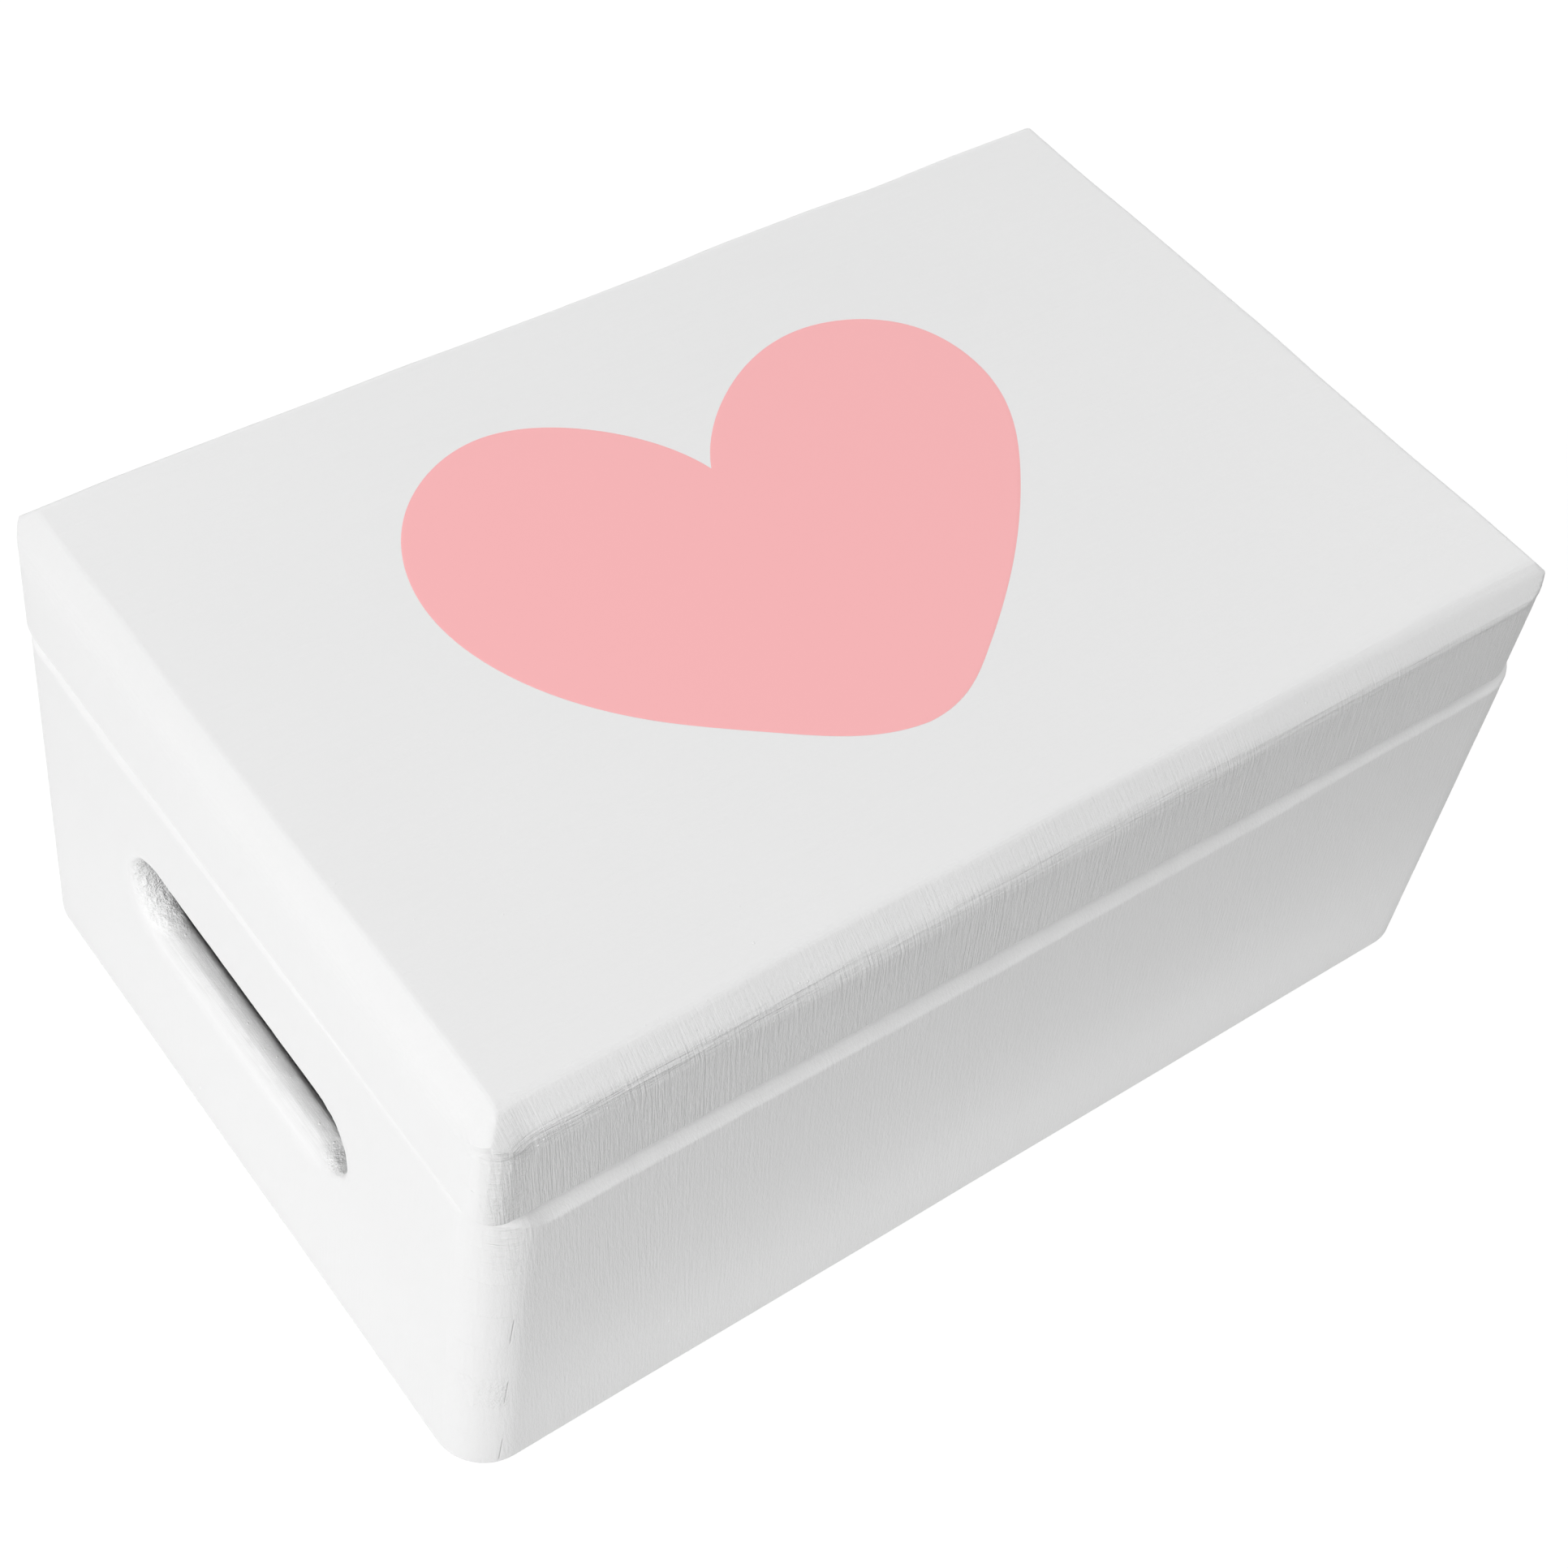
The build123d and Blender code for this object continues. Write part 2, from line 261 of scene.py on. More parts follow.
def put(tree, kind, inputs=(), **settings):
    """A node in a material, with its settings made and its inputs set or linked."""
    node = tree.nodes.new("ShaderNode" + kind)
    for name, value in settings.items():
        setattr(node, name, value)
    for key, value in dict(inputs).items():
        if isinstance(value, bpy.types.NodeSocket):
            tree.links.new(value, node.inputs[key])
        else:
            node.inputs[key].default_value = value
    return node


def calc(tree, operation, *values):
    """Output of a Math node."""
    return put(tree, "Math", dict(enumerate(values)), operation=operation).outputs[0]


def times(tree, first, *others):
    """Product of two or more values."""
    for other in others:
        first = calc(tree, "MULTIPLY", first, other)
    return first


def less(tree, whole, part):
    """One value less another."""
    return calc(tree, "SUBTRACT", whole, part)


def weighted(tree, *pairs):
    """Sum of values, each times its weight."""
    total = 0.0
    for value, weight in pairs:
        total = calc(tree, "MULTIPLY_ADD", value, weight, total)
    return total


def ramp(tree, value, start, end, low=0.0, high=1.0, kind="LINEAR"):
    """Goes from low to high while a value goes from start to end."""
    return put(tree, "MapRange", {
        "Value": value, "From Min": start, "From Max": end, "To Min": low, "To Max": high,
    }, interpolation_type=kind).outputs[0]


def streaks(tree, place, along, detail=2.0, rough=0.5):
    """Noise from -0.5 to 0.5 drawn out by the given scales per millimetre."""
    drawn = put(tree, "VectorMath", {0: place, 1: along}, operation="MULTIPLY").outputs[0]
    noise = put(tree, "TexNoise", {"Vector": drawn, "Scale": 1.0, "Detail": detail, "Roughness": rough})
    return less(tree, noise.outputs[0], 0.5)


def new_finish(name):
    """An empty material, its tree, the place on the object in millimetres and the way each face looks."""
    finish = bpy.data.materials.new(name)
    finish.use_nodes = True
    tree = finish.node_tree
    tree.nodes.clear()
    coords = put(tree, "TexCoord").outputs
    place = put(tree, "VectorMath", {0: coords["Object"], "Scale": 1000.0}, operation="SCALE").outputs[0]
    return finish, tree, place, coords["Normal"]


def close_finish(tree, height, **inputs):
    """Ends a material in its shader, with a relief whose height is in millimetres."""
    bump = put(tree, "Bump", {"Height": height, "Distance": 0.001, "Strength": 1.0})
    inputs = {key.replace("_", " "): value for key, value in inputs.items()}
    shader = put(tree, "BsdfPrincipled", {**inputs, "Normal": bump.outputs[0]})
    put(tree, "OutputMaterial", {"Surface": shader.outputs[0]})


# Marks in the paint: how many to a millimetre along X, Y and Z, then detail and roughness
GRAIN_ALONG = 0.035
GRAIN_ACROSS = 0.85
FINER = 4.0
MARKS = {
    "down_front": ((1.5, 0.07, 0.06), 3.0, 0.66),
    "down_end": ((0.07, 1.15, 0.055), 2.5, 0.62),
    "corner_rings": ((0.16, 0.16, 1.8), 2.0, 0.6),
    "ridges": ((0.055, 0.055, 1.5), 3.0, 0.6),
    "mottle": ((1.5, 1.5, 0.42), 2.0, 0.6),
    "grit": ((1.1, 1.1, 1.1), 3.0, 0.65),
    "patches": ((0.045, 0.045, 0.03), 2.0, 0.5),
    "cracked": ((0.08, 0.08, 0.19), 2.0, 0.5),
    "wrinkled": ((0.03, 0.03, 0.05), 1.0, 0.5),
    "clouds": ((0.02, 0.02, 0.02), 2.0, 0.5),
}

# Where a mark comes in, from none to full, and then its strengths there when they aren't 0 and 1
FADES = {
    "round_corner": (12.0, 7.0),
    "turned_to_front": (0.30, 0.62),
    "high_on_wall": (78.0, 86.0),
    "ridge_band": (2.5, 0.9),
    "to_left": (-60.0, -135.0, 0.45, 1.0),
    "patches": (-0.12, 0.10, 0.45, 1.0),
    "cracked": (-0.05, 0.10, 0.0, 0.17),
    "inside_row": (0.42, 0.30),
    "wrinkled": (0.0, 0.12),
    "near_hole": (14.5, 12.5),
    "past_lip": (0.4, 2.0),
    "to_tips": (32.0, 42.0, 0.12, 1.0),
}
SLANT_SEEN = (0.05, 0.2)
STROKE_LEAN = 0.10
BUMP_INSIDE = 0.55
CRACK_WIDTH = 0.22
SPLIT_WIDTH = 0.24
SPLIT_LEAN = 0.6
SPLIT_OFFSET = 0.7
HOLE_FROM_FRONT = 50.0
RIDGE_HEIGHT = 130.2
HOLE_MIDDLE = 61.6
WHITE = 0.83


def joint_marks(tree, place, z, from_end, from_front, faces_front, upright, joint):
    """Cracks where the paint has opened along the finger joints, and the end grain that wrinkles it."""
    row = calc(tree, "DIVIDE", less(tree, z, joint["start"]), joint["finger"])
    row_part = calc(tree, "FRACT", row)
    even = calc(tree, "LESS_THAN", calc(tree, "FRACT", times(tree, row, 0.5)), 0.5)
    from_middle = calc(tree, "ABSOLUTE", less(tree, row_part, 0.5))
    on_fingers = calc(tree, "LESS_THAN", calc(tree, "MAXIMUM", from_end, from_front), WALL)
    level = times(tree, less(tree, 0.5, from_middle), joint["finger"] / CRACK_WIDTH)
    level = calc(tree, "ADD", level, less(tree, 1.0, on_fingers))
    level = less(tree, 1.0, calc(tree, "MINIMUM", level, 1.0))
    opened = ramp(tree, streaks(tree, place, *MARKS["cracked"]), *FADES["cracked"])
    opened = times(tree, opened, calc(tree, "LESS_THAN", z, joint["end"]))
    level = times(tree, level, opened, upright)

    leaning = calc(tree, "MULTIPLY_ADD", row_part, -SPLIT_LEAN, SPLIT_OFFSET)
    beside = calc(tree, "ABSOLUTE", calc(tree, "ADD", less(tree, from_end, WALL), leaning))
    split = less(tree, 1.0, calc(tree, "MINIMUM", calc(tree, "DIVIDE", beside, SPLIT_WIDTH), 1.0))
    inside_row = ramp(tree, from_middle, *FADES["inside_row"])
    low_down = calc(tree, "LESS_THAN", z, joint["split_end"])
    split = times(tree, split, times(tree, even, inside_row, low_down), faces_front)

    wrinkled = ramp(tree, streaks(tree, place, *MARKS["wrinkled"]), *FADES["wrinkled"])
    end_grain = times(tree, even, faces_front, calc(tree, "LESS_THAN", from_end, WALL), wrinkled)
    return calc(tree, "MAXIMUM", split, level), end_grain


def hand_hole_marks(tree, y, z, from_end, from_front):
    """Where the paint lies in the bore of a hand hole, and how much of it is rough there."""
    near_hole = ramp(tree, calc(tree, "ABSOLUTE", less(tree, z, HOLE_MIDDLE)), *FADES["near_hole"])
    past_lip = ramp(tree, from_end, *FADES["past_lip"])
    mid_wall = calc(tree, "GREATER_THAN", from_front, HOLE_FROM_FRONT)
    to_tips = ramp(tree, calc(tree, "ABSOLUTE", y), *FADES["to_tips"])
    return times(tree, near_hole, past_lip, mid_wall), to_tips


def white_paint(
    name, grain_along_x, joint, front_strokes, end_strokes, mottle, thin_paint_and_front_shade, end_slant_highlight, slant_strokes,
):
    """Brushed white paint over pine, with the finger joints just showing through at the corners.

    The strokes and the mottle are heights in millimetres. The front shade number is painted shade: how
    much darker the colour is made on faces that look to the front. The end slant number is a painted
    highlight: how much brighter the colour is made on slants at the ends. Slant_strokes is the strokes
    left on the slants.
    """
    finish, tree, place, normal = new_finish(name)
    x, y, z = put(tree, "SeparateXYZ", {0: place}).outputs
    ways = put(tree, "SeparateXYZ", {0: normal}).outputs
    lie = [calc(tree, "POWER", calc(tree, "ABSOLUTE", way), 2.0) for way in ways]
    faces_end, faces_front, faces_top = lie
    upright = less(tree, 1.0, faces_top)
    slant = times(tree, faces_top, faces_front)
    depth = put(tree, "Attribute", attribute_name="paint_depth").outputs["Fac"]
    skin = less(tree, 1.0, calc(tree, "MINIMUM", depth, 1.0))
    from_end = less(tree, HALF_LENGTH, calc(tree, "ABSOLUTE", calc(tree, "ADD", x, joint["shift"])))
    from_front = less(tree, HALF_DEPTH, calc(tree, "ABSOLUTE", y))
    from_corner = calc(tree, "MAXIMUM", from_end, from_front)
    corner = ramp(tree, from_corner, *FADES["round_corner"], kind="SMOOTHSTEP")

    along, across = GRAIN_ALONG, GRAIN_ACROSS
    grain = (along, across, across) if grain_along_x else (across, along, across)
    strokes = streaks(tree, place, grain, 3.0, 0.6)
    fine = streaks(tree, place, tuple(FINER * step for step in grain), 2.0, 0.5)
    lean = put(tree, "CombineXYZ", {0: times(tree, z, STROKE_LEAN)}).outputs[0]
    leaning = put(tree, "VectorMath", {0: place, 1: lean}, operation="ADD").outputs[0]
    down_front = streaks(tree, leaning, *MARKS["down_front"])
    down_end = streaks(tree, leaning, *MARKS["down_end"])
    peel = streaks(tree, leaning, *MARKS["mottle"])
    rings = streaks(tree, place, *MARKS["corner_rings"])
    ridges = streaks(tree, place, *MARKS["ridges"])
    grit = streaks(tree, place, *MARKS["grit"])
    clouds = streaks(tree, place, *MARKS["clouds"])

    turned = ramp(tree, faces_front, *FADES["turned_to_front"])
    turned = times(tree, turned, ramp(tree, z, *FADES["high_on_wall"]), upright)
    from_ridge = calc(tree, "ABSOLUTE", less(tree, z, RIDGE_HEIGHT))
    ridge_band = ramp(tree, from_ridge, *FADES["ridge_band"], kind="SMOOTHSTEP")
    to_left = ramp(tree, x, *FADES["to_left"])
    patches = ramp(tree, streaks(tree, place, *MARKS["patches"]), *FADES["patches"])
    off_slant = ramp(tree, slant, *SLANT_SEEN, 1.0, slant_strokes)
    on_top = calc(tree, "MULTIPLY_ADD", faces_top, 0.6, 0.4)
    on_front = calc(tree, "MULTIPLY_ADD", faces_front, 0.8, 0.2)
    crack, end_grain = joint_marks(tree, place, z, from_end, from_front, faces_front, upright, joint)
    crack = times(tree, crack, skin)
    # The bore mask also brightens the colour below: painted light in the hand hole's shaded bore.
    in_bore, to_tips = hand_hole_marks(tree, y, z, from_end, from_front)

    height = weighted(
        tree,
        (times(tree, grit, in_bore, to_tips), 0.8),
        (times(tree, grit, end_grain), 0.45),
        (times(tree, strokes, on_top), 0.11),
        (fine, 0.012),
        (times(tree, peel, on_front), mottle),
        (times(tree, down_front, faces_front, times(tree, patches, off_slant)), front_strokes),
        (times(tree, down_end, faces_end), end_strokes),
        (times(tree, rings, corner, turned), 0.42),
        (times(tree, ridges, ridge_band, times(tree, to_left, faces_front)), 1.25),
        (crack, -0.16),
    )
    height = times(tree, height, calc(tree, "MULTIPLY_ADD", skin, 1 - BUMP_INSIDE, BUMP_INSIDE))
    # Offsets of the paint's colour: clouds and strokes are its own tone and the cracks are dark joints; the
    # other terms are painted light and painted shade.
    tone_and_painted_light = weighted(
        # The faces_front term is painted shade: the colour is made darker on faces that look to the front.
        tree,
        # The slant term is a painted highlight: the colour is made brighter on the sloped band between top
        # and front.
        (clouds, 0.02), (strokes, 0.012), (crack, -0.14), (faces_front, -thin_paint_and_front_shade), (slant, 0.36),
        # The end slant term is a painted highlight: the colour is made brighter on the sloped bands at the
        # ends.
        (times(tree, faces_top, faces_end), end_slant_highlight), (in_bore, 0.14),
    )
    tone = calc(tree, "ADD", tone_and_painted_light, WHITE)
    colour = put(tree, "CombineColor", {0: tone, 1: tone, 2: tone})
    roughness = calc(tree, "ADD", weighted(tree, (strokes, 0.25), (clouds, 0.12)), 0.52)
    close_finish(
        tree, height, Base_Color=colour.outputs[0], Roughness=roughness, IOR=1.46, Specular_IOR_Level=0.4,
    )
    return finish


BODY_PAINT = {
    "joint": {"start": 0.0, "finger": FINGER, "end": BODY_TOP, "split_end": 66.0, "shift": 0.0},
    "front_strokes": 0.14, "end_strokes": 0.05, "mottle": 0.11,
    "thin_paint_and_front_shade": 0.03, "end_slant_highlight": 0.36, "slant_strokes": 0.25,
}
body_paint_along = white_paint("white_paint_on_long_walls", True, **BODY_PAINT)
wall_cuts = (
    ruled((-150.6, -136, 0.8), (-135, 135, 2.4), (136, 151, 0.8)),
    ruled((-98.6, -88, 2.2), (89, 99, 2.2)),
    ruled(CUTS_AT_FOOT, (4, 92, 2.6), *CUTS_AT_TOP),
)
for side in ("front_wall", "back_wall"):
    wall = painted_board(side, "box", wall_cuts, body_made, body_worn, body_relief)
    wall.data.materials.append(body_paint_along)

# End walls of the body, with the fingers that show at the corners. Each has a hand hole, cut with a
# router and painted thickly: the lower lip is worn round, the upper lip is nearly sharp, and the
# end grain at both ends of the hole stays rough under the paint.
HOLE_RADIUS = 12.3
HOLE_HALF_STRAIGHT = 33.95
HOLE_OUTER_ROUND = 4.0
HOLE_INNER_ROUND = 2.5

# Radius of the worn outer lip, as (height in the hole from -1 below to 1 above, radius)
HOLE_WORN_LIP = ((-1, 6.6), (-0.3, 5.6), (0.4, 2.6), (1, 1.2))
LESS_WORN_AT_FRONT_TIP = 0.65
BORE_DABS = 0.10
BORE_END_GRAIN = 0.16


def into_hole(points):
    """How far a point lies inside the hand hole's outline, negative in the wood."""
    beyond = np.maximum(np.abs(points[:, 1]) - HOLE_HALF_STRAIGHT, 0)
    return HOLE_RADIUS - np.hypot(beyond, points[:, 2] - HOLE_MIDDLE)


def with_hole(points, solid, lip):
    """Distance outside an end wall with its hand hole, whose outer lip is rounded, cut in a solid board."""
    hole = into_hole(points)
    from_face = np.abs(points[:, 0]) - HALF_LENGTH
    outer = meet(from_face, hole, lip)
    inner = meet(-from_face - WALL, hole, HOLE_INNER_ROUND)
    near = np.maximum(outer, np.where(hole > -HOLE_INNER_ROUND - 1, inner, -WALL))
    return np.maximum(solid, near)


def end_made(points):
    """Distance outside an end wall as cut, hand hole included."""
    return with_hole(points, body_made(points), HOLE_OUTER_ROUND)


def end_worn(points):
    """Distance outside an end wall once its edges are sanded and its hand hole is worn."""
    height = np.clip((points[:, 2] - HOLE_MIDDLE) / HOLE_RADIUS, -1, 1)
    front_tip = np.clip((-points[:, 1] - 32) / 10, 0, 1)
    lip = np.interp(height, *zip(*HOLE_WORN_LIP)) * (1 - LESS_WORN_AT_FRONT_TIP * front_tip)
    return with_hole(points, body_worn(points), lip)


def end_relief(points):
    """Depth of the painted skin on an end wall, rough inside the hand hole."""
    x, y, z = points.T
    bore = np.clip(1 + into_hole(points) / 3, 0, 1)
    end_grain = np.clip((np.abs(y) - 30) / 12, 0, 1)
    dabs = 1 + lumps_of(12, x / 1.8, y / 2.6, z / 2.0)
    coarse = 1 + lumps_of(17, x / 1.3, y / 1.2, z / 1.2)
    return body_relief(points) + bore * (BORE_DABS * dabs + BORE_END_GRAIN * end_grain * coarse)


body_paint_across = white_paint("white_paint_on_end_walls", False, **BODY_PAINT)
end_cuts = (
    ruled((-149.6, -137, 0.7), (138, 150, 0.7)),
    ruled(
        (-98.6, -86, 0.8), (-85, -48, 2.2), (-47.5, -28, 0.8), (-27, 28, 1.6),
        (28.3, 48, 0.8), (49, 85, 2.2), (86, 99, 0.8),
    ),
    ruled(CUTS_AT_FOOT, (4, 46, 2.6), (47, 78, 0.8), (79, 92, 2.6), *CUTS_AT_TOP),
)
for side in ("left_wall", "right_wall"):
    wall = painted_board(side, "box", end_cuts, end_made, end_worn, end_relief)
    wall.data.materials.append(body_paint_across)

# Lid board. One flat pine board, 9.5 mm thick, glued on the lid's frame. A bevel with two soft
# shoulders runs along its four edges and meets in mitres at the corners. It was brushed along the
# grain, and the brush left ridges of paint below the bevel.
lid_lowest, lid_highest = extent("lid_board")
LID_SHIFT = round(-(lid_lowest[0] + lid_highest[0]) / 2, 2)
LID_TOP = lid_highest[2]
LID_SEAM = lid_lowest[2]
LID_BOTTOM = extent("lid_front_rail")[0][2]
LID_FINGER_ROWS = 2
LID_BEVEL = 7.0
LID_UPPER_ROUND = 3.5
LID_LOWER_ROUND = 8.0
LID_FOOT_ROUND = 1.0
LID_SQUARE_CORNER = 7.0

# The sanded lid: how much its front bevel changes towards the right, and its edges at the ends
BEVEL_LESS = 1.5
UPPER_ROUND_MORE = 4.0
LOWER_ROUND_LESS = 5.0
BEVEL_WANDER = 0.45
END_BEVEL = 6.4
END_UPPER_ROUND = 2.5
END_LOWER_ROUND = 13.0
MITRE_WIDTH = 1.0
CORNER_WEAR = 1.6
FOOT_WEAR = 0.3
RIDGE_BAND = 1.7
RIDGE_DEPTH = 0.10
BEAD_DEPTH = 0.03
CALM_ON_TOP = 0.8
DIAGONAL = math.sqrt(0.5)


def eased(first, second, width):
    """The larger of two distances, with their meeting eased over a width."""
    return np.maximum(first, second) + np.maximum(width - np.abs(first - second), 0) ** 2 / (4 * width)


def bevelled(from_side, from_top, bevel, upper, lower):
    """Distance outside one bevelled edge with its two shoulders."""
    slope = (from_side + from_top + bevel) * DIAGONAL
    return np.maximum(meet(from_side, slope, lower, DIAGONAL), meet(from_top, slope, upper, DIAGONAL))


def square_corner(points):
    """Moves the lid's front left corner out, because it was rounded less than the others."""
    shaped = points.copy()
    out_x = -(points[:, 0] + LID_SHIFT) - HALF_LENGTH + BODY_CORNER
    out_y = -points[:, 1] - HALF_DEPTH + BODY_CORNER
    near = (out_x > 0) & (out_y > 0)
    reach = np.hypot(out_x[near], out_y[near])
    way_x, way_y = out_x[near] / reach, out_y[near] / reach
    centre = BODY_CORNER - LID_SQUARE_CORNER
    along = centre * (way_x + way_y)
    arc = along + np.sqrt(np.maximum(along ** 2 - 2 * centre ** 2 + LID_SQUARE_CORNER ** 2, 0))
    side = BODY_CORNER / np.maximum(way_x, way_y)
    on_side = side * np.minimum(way_x, way_y) <= centre
    outline = np.where(on_side, side, arc)
    push = reach * (outline / BODY_CORNER - 1) * np.minimum(reach / BODY_CORNER, 1) ** 2
    shaped[near, 0] -= way_x * push
    shaped[near, 1] -= way_y * push
    return shaped


def lid_edge(x, y, others):
    """Distance outside the lid's outline. Its front left corner is squarer than the others."""
    return plan_edge(x, y, np.where((x < 0) & (y < 0), LID_SQUARE_CORNER, others))


def on_lid(points):
    """Places measured from the middle of the lid's top."""
    return points[:, 0] + LID_SHIFT, points[:, 1], points[:, 2] - LID_TOP


def lid_made(points):
    """Distance outside the lid as cut."""
    x, y, z = on_lid(points)
    sizes = (LID_BEVEL, LID_UPPER_ROUND, LID_LOWER_ROUND)
    long_edges = bevelled(np.abs(y) - HALF_DEPTH, z, *sizes)
    short_edges = bevelled(np.abs(x) - HALF_LENGTH, z, *sizes)
    top = np.maximum(np.maximum(long_edges, short_edges), lid_edge(x, y, BODY_CORNER))
    return meet(top, LID_BOTTOM - points[:, 2], LID_FOOT_ROUND)


def lid_worn(points):
    """Distance outside the lid once it is sanded: the front bevel is narrower towards the right."""
    x, y, z = on_lid(points)
    wander = BEVEL_WANDER * lumps_of(21, x / 24, y / 24, 0 * z)
    to_right = np.clip((x - 20) / 120, 0, 1) * np.clip(-y / HALF_DEPTH, 0, 1)
    bevel = LID_BEVEL - BEVEL_LESS * to_right + wander
    upper = LID_UPPER_ROUND + UPPER_ROUND_MORE * to_right
    lower = LID_LOWER_ROUND - LOWER_ROUND_LESS * to_right
    long_edges = bevelled(np.abs(y) - HALF_DEPTH, z, bevel, upper, lower)
    short_edges = bevelled(np.abs(x) - HALF_LENGTH, z, END_BEVEL + wander, END_UPPER_ROUND, END_LOWER_ROUND)
    mitre = eased(long_edges, short_edges, MITRE_WIDTH) - np.maximum(long_edges, short_edges)
    off_top = np.clip(-(z + 0.6) / 0.8, 0, 1)
    edges = np.maximum(long_edges, short_edges) + mitre * off_top
    top = np.maximum(edges, lid_edge(x, y, BODY_CORNER + CORNER_WEAR))
    return meet(top, LID_BOTTOM - points[:, 2], LID_FOOT_ROUND + FOOT_WEAR)


def lid_relief(points):
    """Depth of the painted skin on the lid: ridges below the bevel, and hardly any under the heart."""
    x, y, z = points.T
    wander = 0.5 * lumps_of(30, x / 40, y / 40, 0 * z)
    below = np.exp(-(((z - RIDGE_HEIGHT - wander) / RIDGE_BAND) ** 2)) * np.clip((np.abs(y) - 92) / 4, 0, 1)
    ridges = 1 + lumps_of(31, x / 21, y / 21, z / 0.8)
    beads = 1 + lumps_of(33, x / 4, y / 4, z / 0.7)
    on_top = np.clip((z - LID_TOP + 0.8) / 0.6, 0, 1)
    broad = 1 + lumps(points / 30, 35)
    ridged = below * (RIDGE_DEPTH * ridges + BEAD_DEPTH * beads)
    return PAINT_WAVE * broad * (1 - CALM_ON_TOP * on_top) + ridged


LID_PAINT = {
    "joint": {
        "start": LID_BOTTOM, "finger": round((LID_SEAM - LID_BOTTOM) / LID_FINGER_ROWS, 2),
        "end": LID_SEAM, "split_end": 0.0, "shift": LID_SHIFT,
    },
    "front_strokes": 0.42, "end_strokes": 0.06, "mottle": 0.16,
    "thin_paint_and_front_shade": 0.095, "end_slant_highlight": 0.0, "slant_strokes": 0.9,
}
lid_paint_along = white_paint("white_paint_on_lid", True, **LID_PAINT)
lid_cuts_along = ruled((-150.9, -138, 0.7), (-137, 134, 2.4), (135, 149, 0.7))
lid_board_cuts = (
    lid_cuts_along,
    ruled((-98.8, -87, 0.55), (-86, 86, 2.4), (87, 99, 0.55)),
    ruled((127.75, 132.6, 0.27), (132.9, 136.8, 0.5)),
)
lid_board = painted_board("lid_board", "lid", lid_board_cuts, lid_made, lid_worn, lid_relief, square_corner)
lid_board.data.materials.append(lid_paint_along)

# Lid frame. Four pine rails 22.4 mm high with two rows of fingers at the corners, glued under the
# lid board. The long rails run along the front and back. They are painted with the board.
rail_cuts_up = ruled((105.5, 107, 0.4), (108, 120, 2.0), (121, 127.4, 0.45))
long_rail_cuts = (lid_cuts_along, ruled((-98.6, -88, 2.2), (89, 99, 2.2)), rail_cuts_up)
end_rail_cuts = (
    ruled((-150.6, -141, 2.2), (139, 149, 2.2)),
    ruled((-98.6, -87, 0.7), (-86, 86, 2.4), (87, 99, 0.7)),
    rail_cuts_up,
)
lid_paint_across = white_paint("white_paint_on_end_rails", False, **LID_PAINT)
for side in ("lid_front_rail", "lid_back_rail"):
    rail = painted_board(side, "lid", long_rail_cuts, lid_made, lid_worn, lid_relief, square_corner)
    rail.data.materials.append(lid_paint_along)
for side in ("lid_left_rail", "lid_right_rail"):
    rail = painted_board(side, "lid", end_rail_cuts, lid_made, lid_worn, lid_relief, square_corner)
    rail.data.materials.append(lid_paint_across)

# Specks in the dried paint. Small grains of dust and dried paint that the brush left on the boards,
# most of them in the hand holes, below the lid's bevel and on the top near the front. The numbers
# of specks are to a square metre, and their sizes are in metres.
SPECKS_IN_HOLE = 45000
SPECKS_MORE_AT_TIPS = 15000
SPECKS_ON_WALLS = 1500
SPECKS_ON_RIDGES = 30000
SPECKS_ON_TOP = 9000
SPECKS_ON_LID = 2500
SPECK_SMALLEST = 0.00012
SPECK_LARGEST = 0.00036
SPECK_FLATNESS = 0.45
SKIN_DEPTH = 0.03
SPECK_INSIDE = 0.01


def specks_wanted(points, depth, body):
    """How many specks to a square metre each point of a board's skin wants."""
    x, y, z = points.T
    flocks = np.clip(lumps(points / 13, 41) - 0.1, 0, 1)
    if body == "box":
        in_hole = (np.abs(y) < 47) & (np.abs(z - HOLE_MIDDLE) < HOLE_RADIUS + 0.4)
        in_hole &= np.abs(x) < HALF_LENGTH - 0.6
        to_tips = np.clip((np.abs(y) - 26) / 14, 0, 1)
        wanted = np.where(in_hole, SPECKS_IN_HOLE + SPECKS_MORE_AT_TIPS * to_tips, SPECKS_ON_WALLS * flocks)
    else:
        on_ridges = (y < -96) & (np.abs(z - RIDGE_HEIGHT) < 2.5) & (x < -60)
        near_front = np.clip((20 - y) / 80, 0.15, 1) * np.clip((60 - x) / 120, 0.15, 1)
        elsewhere = np.where(z > LID_TOP - 1, SPECKS_ON_TOP * flocks * near_front, SPECKS_ON_LID * flocks)
        wanted = np.where(on_ridges, SPECKS_ON_RIDGES, elsewhere)
    return wanted * (depth < SKIN_DEPTH)


